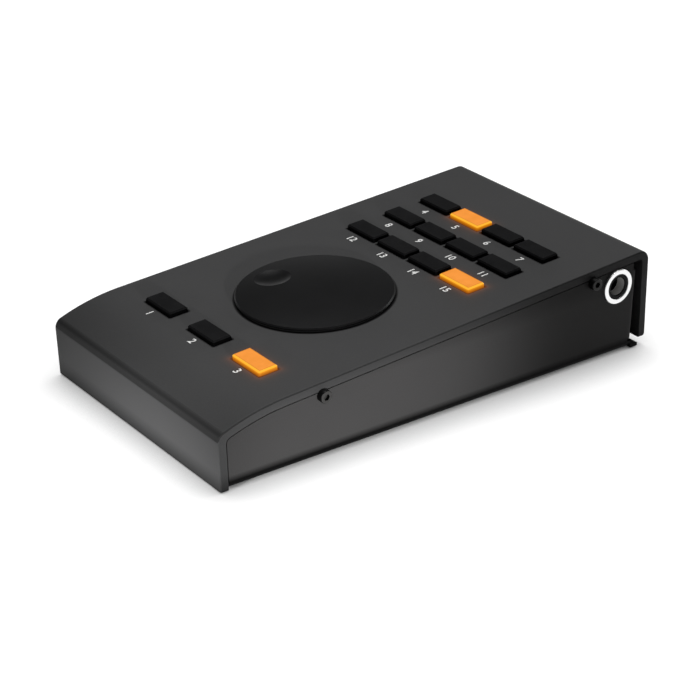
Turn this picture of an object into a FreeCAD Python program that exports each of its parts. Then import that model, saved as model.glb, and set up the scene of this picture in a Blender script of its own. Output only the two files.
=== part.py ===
import FreeCAD, Part
import math
import os
import Sketcher

# Desktop remote control with a jog wheel and fifteen keys.
# +X is to the user's right, +Y points away from the user, +Z is up.
# The origin is on the table, under the middle of the body.

V = FreeCAD.Vector
doc = FreeCAD.newDocument("MonitorController")

# Driving dimensions in millimetres and degrees
SIZES = {
    "cover_width": 100.0,
    "cover_half_length": 91.0,
    "sheet_thickness": 3.0,
    "top_tilt": 4.1,
    "front_lean": 3.0,
    "rear_lean": 2.5,
    "rear_height": 37.9,
    "front_corner_height": 20.5,
    "crown_start": 65.6,
    "crown_radius": 78.2,
    "front_bend_radius": 3.6,
    "front_inner_radius": 2.2,
    "rear_bend_radius": 4.2,
    "rear_flange_reach": 90.85,
    "rear_flange_level": 33.0,
    "body_lift": 0.6,
    "rear_flange_lift": 3.6,
    "edge_round": 0.5,
    "flange_end_round": 1.0,
    "tray_thickness": 1.2,
    "tray_gap": 0.35,
    "tray_bend_radius": 2.9,
    "tray_corner_radius": 2.5,
    "ear_face": 85.8,
    "ear_bend_radius": 2.2,
    "ear_length": 12.0,
    "ear_foot": 4.6,
    "ear_top": 31.0,
    "bend_reach": 85.3,
    "floor_reach": 88.6,
    "column_pitch": 17.5,
    "row_pitch": 16.8,
    "first_row": 25.2,
    "front_row": 60.8,
    "key_width": 15.5,
    "key_depth": 7.3,
    "key_rise": 1.7,
    "key_play": 0.3,
    "window_corner": 0.8,
    "key_travel": 0.8,
    "key_wall": 1.0,
    "key_roof": 1.2,
    "key_lip": 0.7,
    "key_lip_height": 0.8,
    "key_corner": 0.6,
    "key_bevel": 0.5,
    "stem_diameter": 3.2,
    "stem_play": 0.1,
    "switch_side": 6.0,
    "switch_height": 3.5,
    "lamp_height": 1.9,
    "wheel_centre": 17.8,
    "wheel_diameter": 55.0,
    "wheel_gap": 0.4,
    "wheel_edge_height": 1.5,
    "wheel_dome": 1.5,
    "wheel_bevel": 0.4,
    "wheel_turn": 200.8,
    "hub_diameter": 12.0,
    "hub_hole_diameter": 15.0,
    "hub_end": 5.2,
    "dimple_offset": 18.9,
    "dimple_diameter": 13.2,
    "dimple_depth": 1.0,
    "shaft_diameter": 6.0,
    "shaft_flat": 1.5,
    "shaft_play": 0.05,
    "bush_diameter": 7.0,
    "bush_end": 6.0,
    "board_depth": 9.5,
    "board_thickness": 1.6,
    "board_width": 76.0,
    "encoder_width": 12.6,
    "encoder_length": 13.2,
    "encoder_height": 6.5,
    "spacer_diameter": 5.0,
    "screw_diameter": 2.5,
    "screw_hole": 2.8,
    "side_screw_head": 4.5,
    "side_screw_rise": 2.3,
    "side_screw_depth": 4.5,
    "side_screw_reach": 8.0,
    "hex_key": 2.0,
    "hex_depth": 1.3,
    "jack_reach": 76.1,
    "jack_height": 27.2,
    "jack_bore": 6.5,
    "jack_sleeve": 7.8,
    "jack_sleeve_length": 3.5,
    "jack_bush": 9.3,
    "jack_bush_rise": 0.6,
    "jack_lip": 0.4,
    "jack_nut": 12.8,
    "jack_nut_thickness": 0.9,
    "jack_cavity": 8.6,
    "jack_length": 24.0,
    "contact_thickness": 0.4,
    "inlet_width": 12.0,
    "inlet_height": 11.0,
    "inlet_length": 16.3,
    "inlet_wall": 0.4,
    "inlet_mouth_width": 8.45,
    "inlet_mouth_height": 7.8,
    "inlet_board_level": 8.6,
    "foot_diameter": 11.0,
}

sheet = doc.addObject("Spreadsheet::Sheet", "Sizes")
for row, (alias, number) in enumerate(SIZES.items(), start=1):
    sheet.set(f"A{row}", alias)
    sheet.set(f"B{row}", str(number))
    sheet.setAlias(f"B{row}", alias)
doc.recompute()


def size(alias):
    """A driving dimension, read from the sheet."""
    return float(sheet.get(alias))


TILT = math.radians(size("top_tilt"))
FRONT_LEAN = math.radians(size("front_lean"))
REAR_LEAN = math.radians(size("rear_lean"))
HALF_WIDTH = size("cover_width") / 2
SIDE_INNER = HALF_WIDTH - size("tray_thickness")

# The slope frame: origin on the cover's outer surface at Y = 0, its Z is the surface's normal
SLOPE_LEVEL = size("rear_height") - math.tan(TILT) * size("cover_half_length")
SLOPE = FreeCAD.Placement(V(0, 0, SLOPE_LEVEL), FreeCAD.Rotation(V(1, 0, 0), size("top_tilt")))
BOARD_TOP = -size("board_depth")
BOARD_UNDER = BOARD_TOP - size("board_thickness")


def slope_point(along, normal):
    """World Y and Z of a point in the slope frame."""
    point = SLOPE.multVec(V(0, along, normal))
    return point.y, point.z


# Helpers for bodies, sketches and features

def new_body(name, placement=None):
    body = doc.addObject("PartDesign::Body", name)
    body.Label = name
    if placement:
        body.Placement = placement
    return body


def new_sketch(body, name, role, shift=None):
    sketch = body.newObject("Sketcher::SketchObject", name)
    plane = next(item for item in body.Origin.OriginFeatures if item.Role == role)
    sketch.AttachmentSupport = [(plane, "")]
    sketch.MapMode = "FlatFace"
    if shift:
        sketch.AttachmentOffset = shift
    return sketch


def raised(height):
    """A sketch plane moved along its own normal."""
    return FreeCAD.Placement(V(0, 0, height), FreeCAD.Rotation())


def end_at(sketch, index, point):
    """Which end of a sketch element lies at a point."""
    first = sketch.getPoint(index, 1)
    return 1 if (first - point).Length < (sketch.getPoint(index, 2) - point).Length else 2


def closed_profile(sketch, items):
    """Lines and arcs in order, joined end to end."""
    indices = [sketch.addGeometry(item, False) for item in items]
    for place, index in enumerate(indices):
        following = indices[(place + 1) % len(indices)]
        joint = items[place].EndPoint
        sketch.addConstraint(Sketcher.Constraint(
            "Coincident", index, end_at(sketch, index, joint), following, end_at(sketch, following, joint)))
    return indices


def polygon(sketch, points):
    ends = [V(*point, 0) for point in points]
    return closed_profile(sketch, [Part.LineSegment(start, end) for start, end in zip(ends, ends[1:] + ends[:1])])


def rectangle(sketch, centre_x, centre_y, width, height):
    """A rectangle whose width and height are expressions on the sheet."""
    half_width = sketch.evalExpression(width) / 2
    half_height = sketch.evalExpression(height) / 2
    lines = polygon(sketch, [
        (centre_x - half_width, centre_y - half_height),
        (centre_x + half_width, centre_y - half_height),
        (centre_x + half_width, centre_y + half_height),
        (centre_x - half_width, centre_y + half_height)])
    sketch.addConstraint([
        Sketcher.Constraint("Horizontal", lines[0]),
        Sketcher.Constraint("Horizontal", lines[2]),
        Sketcher.Constraint("Vertical", lines[1]),
        Sketcher.Constraint("Vertical", lines[3])])
    across = sketch.addConstraint(Sketcher.Constraint("DistanceX", lines[0], 1, lines[0], 2, 2 * half_width))
    sketch.setExpression(f"Constraints[{across}]", width)
    upward = sketch.addConstraint(Sketcher.Constraint("DistanceY", lines[1], 1, lines[1], 2, 2 * half_height))
    sketch.setExpression(f"Constraints[{upward}]", height)


def circle(sketch, centre_x, centre_y, diameter):
    """A circle whose diameter is an expression on the sheet."""
    radius = sketch.evalExpression(diameter) / 2
    index = sketch.addGeometry(Part.Circle(V(centre_x, centre_y, 0), V(0, 0, 1), radius), False)
    constraint = sketch.addConstraint(Sketcher.Constraint("Diameter", index, 2 * radius))
    sketch.setExpression(f"Constraints[{constraint}]", diameter)


def hexagon(sketch, centre_x, centre_y, across_flats):
    reach = sketch.evalExpression(across_flats) / 2 / math.cos(math.pi / 6)
    corners = [math.radians(60 * step) for step in range(6)]
    polygon(sketch, [(centre_x + reach * math.cos(a), centre_y + reach * math.sin(a)) for a in corners])


def feature(kind, body, sketch, name, length, side="One side", backwards=False):
    """A pad or a pocket whose length is an expression on the sheet."""
    item = body.newObject(kind, name)
    item.Profile = sketch
    item.SideType = side
    item.Reversed = backwards
    item.Length = item.evalExpression(length)
    item.setExpression("Length", length)
    sketch.Visibility = False
    return item


def pad(body, sketch, name, length, **options):
    return feature("PartDesign::Pad", body, sketch, name, length, **options)


def pocket(body, sketch, name, length, **options):
    """A pocket, tested to take material away."""
    doc.recompute()
    before = body.Shape.Volume
    item = feature("PartDesign::Pocket", body, sketch, name, length, **options)
    doc.recompute()
    assert body.Shape.Volume < before - 1e-3, f"{name} cuts nothing"
    return item


def edges_where(body, test):
    """Names of the edges of a body's tip that pass a test, for a fillet or a chamfer."""
    doc.recompute()
    return [f"Edge{number}" for number, edge in enumerate(body.Tip.Shape.Edges, start=1) if test(edge)]


def dress(kind, body, name, test, amount):
    """A fillet or a chamfer on the edges that pass a test."""
    base = body.Tip
    names = edges_where(body, test)
    item = body.newObject(kind, name)
    item.Base = (base, names)
    control = "Radius" if kind == "PartDesign::Fillet" else "Size"
    item.setExpression(control, amount)
    doc.recompute()
    return item


def all_at(edge, axis, level, tolerance=1e-4):
    """True where a whole edge lies at one level of an axis."""
    box = edge.BoundBox
    low = getattr(box, f"{axis}Min")
    high = getattr(box, f"{axis}Max")
    return abs(low - level) < tolerance and abs(high - level) < tolerance


def line(start, end):
    return Part.LineSegment(V(*start, 0), V(*end, 0))


def arc_about(centre, radius, start, end):
    """An arc from one angle to another, the short way."""
    points = []
    for angle in (start, (start + end) / 2, end):
        points.append(V(centre[0] + radius * math.cos(angle), centre[1] + radius * math.sin(angle), 0))
    return Part.Arc(*points)


def polar(centre, radius, angle):
    return centre[0] + radius * math.cos(angle), centre[1] + radius * math.sin(angle)


# The cover's side outline, in Y and Z

class Outline:
    """The bent sheet's outline at a depth under its outer surface, with all the bends' centres."""

    def __init__(self, depth, front_radius=None, rear_radius=None):
        self.depth = depth
        self.normal = math.pi / 2 + TILT
        self.front_normal = math.pi + FRONT_LEAN
        self.rear_normal = REAR_LEAN
        self.crown_radius = size("crown_radius") - depth
        crown_top = (-size("crown_start"), self.slope_height(-size("crown_start")))
        self.crown_centre = polar(crown_top, self.crown_radius, self.normal + math.pi)
        self.front_radius = front_radius or size("front_bend_radius") - depth
        self.rear_radius = rear_radius or size("rear_bend_radius") - depth
        self.front_centre = self.find_front_centre()
        self.front_end = math.atan2(self.front_centre[1] - self.crown_centre[1],
                                    self.front_centre[0] - self.crown_centre[0])
        self.rear_centre = self.find_rear_centre()

    def slope_height(self, reach):
        """Height of the straight slope at a depth under the outer surface."""
        outer = size("rear_height") + math.tan(TILT) * (reach - size("cover_half_length"))
        return outer - self.depth / math.cos(TILT)

    def front_face(self, height, inward=0.0):
        """Y of the front flange's face at a height."""
        outer = -size("cover_half_length") + math.tan(FRONT_LEAN) * (size("front_corner_height") - height)
        return outer + (self.depth + inward) / math.cos(FRONT_LEAN)

    def rear_face(self, height, inward=0.0):
        """Y of the rear flange's face at a height."""
        outer = size("rear_flange_reach") + math.tan(REAR_LEAN) * (size("rear_flange_level") - height)
        return outer - (self.depth + inward) / math.cos(REAR_LEAN)

    def find_front_centre(self):
        """The front bend touches the flange and the crown from inside."""
        reach = self.crown_radius - self.front_radius
        low = size("front_corner_height") - 15
        high = size("front_corner_height") + 15
        for _ in range(60):
            middle = (low + high) / 2
            place = (self.front_face(middle, self.front_radius), middle)
            inside = math.dist(place, self.crown_centre) < reach
            low, high = (middle, high) if inside else (low, middle)
        return place

    def find_rear_centre(self):
        """The rear bend touches the slope and the rear flange from inside."""
        height = size("rear_flange_level")
        for _ in range(40):
            reach = self.rear_face(height, self.rear_radius)
            height = self.slope_height(reach) - self.rear_radius / math.cos(TILT)
        return reach, height

    def run(self, front_level, rear_level):
        """From the front flange's lower end over the top to the rear flange's lower end."""
        front_start = polar(self.front_centre, self.front_radius, self.front_normal)
        crown_end = polar(self.crown_centre, self.crown_radius, self.normal)
        slope_end = polar(self.rear_centre, self.rear_radius, self.normal)
        flange_start = polar(self.rear_centre, self.rear_radius, self.rear_normal)
        return [
            line((self.front_face(front_level), front_level), front_start),
            arc_about(self.front_centre, self.front_radius, self.front_normal, self.front_end),
            arc_about(self.crown_centre, self.crown_radius, self.front_end, self.normal),
            line(crown_end, slope_end),
            arc_about(self.rear_centre, self.rear_radius, self.normal, self.rear_normal),
            line(flange_start, (self.rear_face(rear_level), rear_level))]


def reverse(items):
    """The same chain of lines and arcs, walked the other way."""
    turned = []
    for item in reversed(items):
        if isinstance(item, Part.LineSegment):
            turned.append(Part.LineSegment(item.EndPoint, item.StartPoint))
        else:
            middle = item.value((item.FirstParameter + item.LastParameter) / 2)
            turned.append(Part.Arc(item.EndPoint, middle, item.StartPoint))
    return turned


# Places of the keys in the slope frame: name, X, distance along the slope
PITCH = size("column_pitch")
KEYS = [(f"key_front_{number}", (number - 2) * 1.5 * PITCH, -size("front_row")) for number in (1, 2, 3)]
for row, letter in enumerate("abc"):
    for column in range(4):
        place = size("first_row") + row * size("row_pitch")
        KEYS.append((f"key_{letter}{column + 1}", (column - 1.5) * PITCH, place))

SPACERS = [(side * 33.0, along) for side in (-1, 1) for along in (-50.0, 9.0, 50.4)]
SIDE_SCREWS = (-51.65, 64.2)
INLET_SPACERS = [(-20.0, 66.0), (20.0, 66.0), (-20.0, 82.0), (20.0, 82.0)]


def make_top_cover():
    """One bent sheet: front flange, crown, slope, rear flange, with the windows for keys and hub."""
    body = new_body("top_cover")
    outline = Outline(0.0)
    inner_outline = Outline(size("sheet_thickness"), front_radius=size("front_inner_radius"))
    outer = outline.run(size("body_lift"), size("rear_flange_lift"))
    inner = reverse(inner_outline.run(size("body_lift"), size("rear_flange_lift")))
    joints = [Part.LineSegment(outer[-1].EndPoint, inner[0].StartPoint),
              Part.LineSegment(inner[-1].EndPoint, outer[0].StartPoint)]
    side = new_sketch(body, "CoverSide", "YZ_Plane")
    closed_profile(side, outer + joints[:1] + inner + joints[1:])
    pad(body, side, "CoverSheet", "Sizes.cover_width", side="Symmetric")

    windows = new_sketch(body, "CoverWindows", "XY_Plane", SLOPE)
    for _, across, along in KEYS:
        rectangle(windows, across, along, "Sizes.key_width + 2 * Sizes.key_play",
                  "Sizes.key_depth + 2 * Sizes.key_play")
    pocket(body, windows, "CoverWindowCuts", "3 * Sizes.sheet_thickness", side="Symmetric")

    thickness = size("sheet_thickness")
    normal = SLOPE.Rotation.multVec(V(0, 0, 1))

    def window_corner(edge):
        if abs(edge.Length - thickness) > 1e-3 or len(edge.Vertexes) != 2:
            return False
        span = edge.Vertexes[1].Point - edge.Vertexes[0].Point
        return abs(abs(span.dot(normal)) - thickness) < 1e-3
    dress("PartDesign::Fillet", body, "CoverWindowCorners", window_corner, "Sizes.window_corner")

    hub = new_sketch(body, "CoverHubHole", "XY_Plane", SLOPE)
    circle(hub, 0, -size("wheel_centre"), "Sizes.hub_hole_diameter")
    pocket(body, hub, "CoverHubCut", "3 * Sizes.sheet_thickness", side="Symmetric")

    inlet = new_sketch(body, "CoverInlet", "XZ_Plane", raised(-size("rear_flange_reach")))
    middle = size("inlet_board_level") + size("board_thickness") + size("inlet_height") / 2
    rectangle(inlet, 0, middle, "Sizes.inlet_width + 0.6", "Sizes.inlet_height + 0.6")
    pocket(body, inlet, "CoverInletWindow", "4 * Sizes.sheet_thickness", side="Symmetric")

    def lower_rear_end(edge):
        return all_at(edge, "Z", size("rear_flange_lift")) and edge.BoundBox.YMin > size("rear_flange_reach")
    dress("PartDesign::Fillet", body, "CoverFlangeEnd", lower_rear_end, "Sizes.flange_end_round")

    def outer_cut_edge(edge):
        if not (all_at(edge, "X", HALF_WIDTH) or all_at(edge, "X", -HALF_WIDTH)):
            return False
        middle_point = edge.valueAt((edge.FirstParameter + edge.LastParameter) / 2)
        if edge.BoundBox.ZMax < size("rear_flange_lift") + 0.5 and middle_point.y > 0:
            return False
        if edge.BoundBox.ZMax < size("body_lift") + 0.1:
            return False
        return on_outer_face(outline, middle_point)
    dress("PartDesign::Fillet", body, "CoverCutEdges", outer_cut_edge, "Sizes.edge_round")


def on_outer_face(outline, point):
    """True where a point lies on the outer surface of the bent sheet."""
    pieces = outline.run(size("body_lift"), size("rear_flange_lift"))
    spot = V(point.y, point.z, 0)
    return min(piece.toShape().distToShape(Part.Vertex(spot))[0] for piece in pieces) < 0.05


def tray_section(sketch, top):
    """The tray's U section: bottom, two bends and two walls up to a height."""
    lift = size("body_lift")
    bend = size("tray_bend_radius")
    inner_bend = bend - size("tray_thickness")
    floor = lift + size("tray_thickness")
    level = lift + bend
    left = (-HALF_WIDTH + bend, level)
    right = (HALF_WIDTH - bend, level)
    outside = [arc_about(left, bend, math.pi, 1.5 * math.pi),
               line((left[0], lift), (right[0], lift)),
               arc_about(right, bend, -math.pi / 2, 0)]
    inside = [arc_about(right, inner_bend, 0, -math.pi / 2),
              line((right[0], floor), (left[0], floor)),
              arc_about(left, inner_bend, 1.5 * math.pi, math.pi)]
    right_wall = []
    left_wall = []
    if top > level:
        right_wall = [line((HALF_WIDTH, level), (HALF_WIDTH, top)), line((SIDE_INNER, top), (SIDE_INNER, level))]
        left_wall = [line((-SIDE_INNER, level), (-SIDE_INNER, top)), line((-HALF_WIDTH, top), (-HALF_WIDTH, level))]
    right_end = line((HALF_WIDTH, top), (SIDE_INNER, top))
    left_end = line((-SIDE_INNER, top), (-HALF_WIDTH, top))
    closed_profile(sketch, outside + right_wall[:1] + [right_end] + right_wall[1:]
                   + inside + left_wall[:1] + [left_end] + left_wall[1:])


def make_chassis():
    """A tray that closes the cover: bottom, two side panels and ears turned in behind the rear flange."""
    body = new_body("chassis")
    thick = size("tray_thickness")
    bend_level = size("body_lift") + size("tray_bend_radius")
    ear_start = size("ear_face") - size("ear_bend_radius")
    section = new_sketch(body, "TraySection", "XZ_Plane", raised(-ear_start))
    tray_section(section, size("rear_height") + 2)
    pad(body, section, "TraySheet", "Sizes.ear_face - Sizes.ear_bend_radius + Sizes.cover_half_length")

    # The side bends run on behind the panels, with a slot under each ear, and end in a flat tail of full width
    bends = new_sketch(body, "TrayBends", "XZ_Plane", raised(-size("bend_reach")))
    tray_section(bends, bend_level)
    pad(body, bends, "TrayBendSheet", "Sizes.bend_reach - Sizes.ear_face + Sizes.ear_bend_radius")
    tail = new_sketch(body, "TrayTail", "XY_Plane", raised(size("body_lift")))
    rectangle(tail, 0, (size("bend_reach") + size("floor_reach")) / 2, "Sizes.cover_width",
              "Sizes.floor_reach - Sizes.bend_reach")
    pad(body, tail, "TrayTailSheet", "Sizes.tray_thickness")

    # Ears: each side panel turns inward behind the rear flange
    for side, name in ((1, "Right"), (-1, "Left")):
        ear = new_sketch(body, f"Ear{name}", "XY_Plane", raised(size("ear_foot")))
        radius = size("ear_bend_radius")
        centre = (side * (HALF_WIDTH - radius), ear_start)
        outer_arc = arc_about(centre, radius, 0 if side > 0 else math.pi, math.pi / 2)
        inner_arc = arc_about(centre, radius - thick, math.pi / 2, 0 if side > 0 else math.pi)
        ear_end = side * (HALF_WIDTH - size("ear_length"))
        face = size("ear_face")
        closed_profile(ear, [
            outer_arc,
            line((centre[0], face), (ear_end, face)),
            line((ear_end, face), (ear_end, face - thick)),
            line((ear_end, face - thick), (centre[0], face - thick)),
            inner_arc,
            line((side * SIDE_INNER, ear_start), (side * HALF_WIDTH, ear_start))])
        pad(body, ear, f"EarSheet{name}", "Sizes.ear_top - Sizes.ear_foot")

    # Everything outside the cover's inner contour goes
    contour = Outline(size("sheet_thickness") + size("tray_gap"),
                      front_radius=size("front_inner_radius") - size("tray_gap"),
                      rear_radius=size("tray_corner_radius"))
    below = -5.0
    beyond = 120.0
    above = 80.0
    run = contour.run(below, below)
    slope_start = run[3].StartPoint
    slope_far = (beyond, contour.slope_height(beyond))
    trim = new_sketch(body, "TrayTrim", "YZ_Plane")
    closed_profile(trim, run[:3] + [
        Part.LineSegment(slope_start, V(*slope_far, 0)),
        line(slope_far, (beyond, above)),
        line((beyond, above), (-beyond, above)),
        line((-beyond, above), (-beyond, below)),
        Part.LineSegment(V(-beyond, below, 0), run[0].StartPoint)])
    pocket(body, trim, "TrayContour", "2 * Sizes.cover_width", side="Symmetric")

    jack = new_sketch(body, "TrayJackHole", "YZ_Plane", raised(HALF_WIDTH + 1))
    circle(jack, size("jack_reach"), size("jack_height"), "Sizes.jack_bush + 0.3")
    pocket(body, jack, "TrayJackCut", "2 * Sizes.tray_thickness")

    # The screws' slots are open at the panels' upper edges, under the heads
    half = size("screw_hole") / 2
    for along, name in zip(SIDE_SCREWS, ("Front", "Rear")):
        slot = new_sketch(body, f"TraySlot{name}", "YZ_Plane")
        centre = slope_point(along, -size("side_screw_depth"))
        mouth = [slope_point(along + half, 0), slope_point(along - half, 0)]
        ends = [polar(centre, half, TILT), polar(centre, half, math.pi + TILT)]
        closed_profile(slot, [arc_about(centre, half, math.pi + TILT, 2 * math.pi + TILT),
                              line(ends[0], mouth[0]), line(mouth[0], mouth[1]), line(mouth[1], ends[1])])
        pocket(body, slot, f"TraySlotCut{name}", "2 * Sizes.cover_width", side="Symmetric")


def make_side_screws():
    """Socket-head screws through the side panels into the blocks under the cover."""
    body = new_body("side_screws")
    places = [slope_point(along, -size("side_screw_depth")) for along in SIDE_SCREWS]
    rim = HALF_WIDTH + size("side_screw_rise")
    for side, name in ((1, "Right"), (-1, "Left")):
        seat = raised(side * HALF_WIDTH)
        inward = side > 0
        heads = new_sketch(body, f"Heads{name}", "YZ_Plane", seat)
        shanks = new_sketch(body, f"Shanks{name}", "YZ_Plane", seat)
        sockets = new_sketch(body, f"Sockets{name}", "YZ_Plane", raised(side * rim))
        for place in places:
            circle(heads, *place, "Sizes.side_screw_head")
            circle(shanks, *place, "Sizes.screw_diameter")
            hexagon(sockets, *place, "Sizes.hex_key")
        pad(body, heads, f"HeadPads{name}", "Sizes.side_screw_rise", backwards=not inward)
        pad(body, shanks, f"ShankPads{name}", "Sizes.side_screw_reach", backwards=inward)
        pocket(body, sockets, f"SocketCuts{name}", "Sizes.hex_depth", backwards=not inward)

    def head_rim(edge):
        outer = edge.BoundBox.YLength > size("side_screw_head") - 0.1
        return outer and (all_at(edge, "X", rim) or all_at(edge, "X", -rim))
    dress("PartDesign::Fillet", body, "HeadRims", head_rim, "0.35")


def make_cover_blocks():
    """Threaded blocks on the cover's underside, one behind each side screw."""
    body = new_body("cover_blocks", SLOPE)
    plan = new_sketch(body, "BlockPlan", "XY_Plane", raised(-size("sheet_thickness")))
    width = 8.0
    for side in (1, -1):
        for along in SIDE_SCREWS:
            rectangle(plan, side * (SIDE_INNER - width / 2), along, f"{width}", f"{width}")
    pad(body, plan, "Blocks", "6.5", backwards=True)
    bores = new_sketch(body, "BlockBores", "YZ_Plane")
    for along in SIDE_SCREWS:
        circle(bores, along, -size("side_screw_depth"), "Sizes.screw_diameter")
    pocket(body, bores, "BlockThreads", "2 * Sizes.cover_width", side="Symmetric")
    return body


def make_control_board():
    body = new_body("control_board", SLOPE)
    front = -70.0
    rear = 65.0
    plan = new_sketch(body, "BoardPlan", "XY_Plane", raised(BOARD_TOP))
    rectangle(plan, 0, (front + rear) / 2, "Sizes.board_width", f"{rear - front}")
    for across, along in SPACERS:
        circle(plan, across, along, "Sizes.screw_hole")
    circle(plan, 0, -size("wheel_centre"), "Sizes.bush_diameter + 0.2")
    pad(body, plan, "BoardSheet", "Sizes.board_thickness", backwards=True)

    def corner(edge):
        box = edge.BoundBox
        upright = box.ZLength > 1 and box.XLength < 0.01 and box.YLength < 0.01
        return upright and abs(abs(box.XMin) - size("board_width") / 2) < 0.01
    dress("PartDesign::Fillet", body, "BoardCorners", corner, "1.5")
    return body


def make_board_spacers():
    """Threaded spacers between the cover's underside and the control board."""
    body = new_body("board_spacers", SLOPE)
    plan = new_sketch(body, "SpacerPlan", "XY_Plane", raised(BOARD_TOP))
    bores = new_sketch(body, "SpacerBores", "XY_Plane", raised(BOARD_TOP))
    for across, along in SPACERS:
        circle(plan, across, along, "Sizes.spacer_diameter")
        circle(bores, across, along, "Sizes.screw_diameter")
    pad(body, plan, "SpacerPosts", "Sizes.board_depth - Sizes.sheet_thickness")
    pocket(body, bores, "SpacerThreads", "5", backwards=True)
    return body


def make_screws(name, placement, seat, places, length):
    """Pan-head screws that point up from a seat."""
    body = new_body(name, placement)
    heads = new_sketch(body, f"{name}_heads", "XY_Plane", raised(seat))
    shanks = new_sketch(body, f"{name}_shanks", "XY_Plane", raised(seat))
    for place in places:
        circle(heads, *place, "1.8 * Sizes.screw_diameter")
        circle(shanks, *place, "Sizes.screw_diameter")
    pad(body, heads, f"{name}_head_pads", "1.5", backwards=True)
    pad(body, shanks, f"{name}_shank_pads", length)
    return body


def make_key_switches():
    """Switch housings with the bore that guides each key's stem."""
    body = new_body("key_switches", SLOPE)
    plan = new_sketch(body, "SwitchPlan", "XY_Plane", raised(BOARD_TOP))
    bores = new_sketch(body, "SwitchBores", "XY_Plane", raised(BOARD_TOP + size("switch_height")))
    for _, across, along in KEYS:
        rectangle(plan, across, along, "Sizes.switch_side", "Sizes.switch_side")
        circle(bores, across, along, "Sizes.stem_diameter + 2 * Sizes.stem_play")
    pad(body, plan, "SwitchHousings", "Sizes.switch_height")
    pocket(body, bores, "SwitchGuides", "Sizes.switch_height - 0.3")
    return body


def make_key_lamps():
    """One lamp beside each switch, inside the hollow of its cap."""
    body = new_body("key_lamps", SLOPE)
    plan = new_sketch(body, "LampPlan", "XY_Plane", raised(BOARD_TOP))
    for _, across, along in KEYS:
        rectangle(plan, across + size("switch_side") / 2 + 2.0, along, "3.0", "2.6")
    pad(body, plan, "Lamps", "Sizes.lamp_height")
    return body


def make_key(name, across, along):
    """A hollow cap with a lip under the cover and a stem into its switch."""
    place = FreeCAD.Placement(V(across, along, 0), FreeCAD.Rotation())
    body = new_body(name, SLOPE.multiply(place))
    lip_top = -size("sheet_thickness") - size("key_play")
    lip_end = lip_top - size("key_lip_height")
    plan = new_sketch(body, f"{name}_plan", "XY_Plane", raised(lip_end))
    rectangle(plan, 0, 0, "Sizes.key_width", "Sizes.key_depth")
    pad(body, plan, f"{name}_cap",
        "Sizes.key_rise + Sizes.sheet_thickness + Sizes.key_play + Sizes.key_lip_height")

    def upright(edge):
        return edge.BoundBox.ZLength > 2
    dress("PartDesign::Fillet", body, f"{name}_corners", upright, "Sizes.key_corner")

    def top_edge(edge):
        return all_at(edge, "Z", size("key_rise"))
    dress("PartDesign::Chamfer", body, f"{name}_bevel", top_edge, "Sizes.key_bevel")

    lip = new_sketch(body, f"{name}_lip_plan", "XY_Plane", raised(lip_end))
    rectangle(lip, 0, 0, "Sizes.key_width + 2 * Sizes.key_lip", "Sizes.key_depth + 2 * Sizes.key_lip")
    pad(body, lip, f"{name}_lip", "Sizes.key_lip_height")
    hollow = new_sketch(body, f"{name}_hollow_plan", "XY_Plane", raised(lip_end))
    rectangle(hollow, 0, 0, "Sizes.key_width - 2 * Sizes.key_wall", "Sizes.key_depth - 2 * Sizes.key_wall")
    roof = size("key_rise") - size("key_roof")
    pocket(body, hollow, f"{name}_hollow", f"{roof - lip_end}", backwards=True)
    stem = new_sketch(body, f"{name}_stem_plan", "XY_Plane", raised(roof))
    circle(stem, 0, 0, "Sizes.stem_diameter")
    pad(body, stem, f"{name}_stem", "Sizes.board_depth - 1.5 + Sizes.key_rise - Sizes.key_roof", backwards=True)
    return body


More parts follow.
